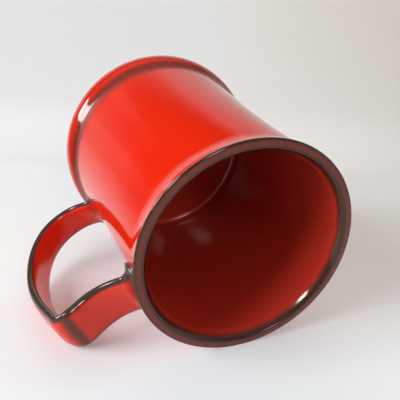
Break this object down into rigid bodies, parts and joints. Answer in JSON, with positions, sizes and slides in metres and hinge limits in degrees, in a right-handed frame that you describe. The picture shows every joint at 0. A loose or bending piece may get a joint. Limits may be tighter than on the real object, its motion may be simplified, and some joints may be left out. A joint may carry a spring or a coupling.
{
  "type": "tankard mug",
  "caption": "Glazed porcelain tankard mug with a flanged foot, a waisted wall, a flared lip and a strap handle with a thumb corner.",
  "frame": {"origin": "middle of the footprint of the whole outline, on the plane that the foot ring stands on", "axes": "+Z along the mug's axis, up and out of the mouth; +X from the mug's axis towards the handle; +Y completes the set"},
  "size_m": [0.1242, 0.0938, 0.109],
  "materials": {
    "body_glaze": "gloss",
    "handle_glaze": "gloss",
    "fillet_glaze": "gloss"
  },
  "bodies": {
    "root": {"cup_body": "body_glaze", "handle": "handle_glaze", "slip_fillet_rim": "fillet_glaze", "slip_fillet_foot": "fillet_glaze"}
  },
  "joints": []
}
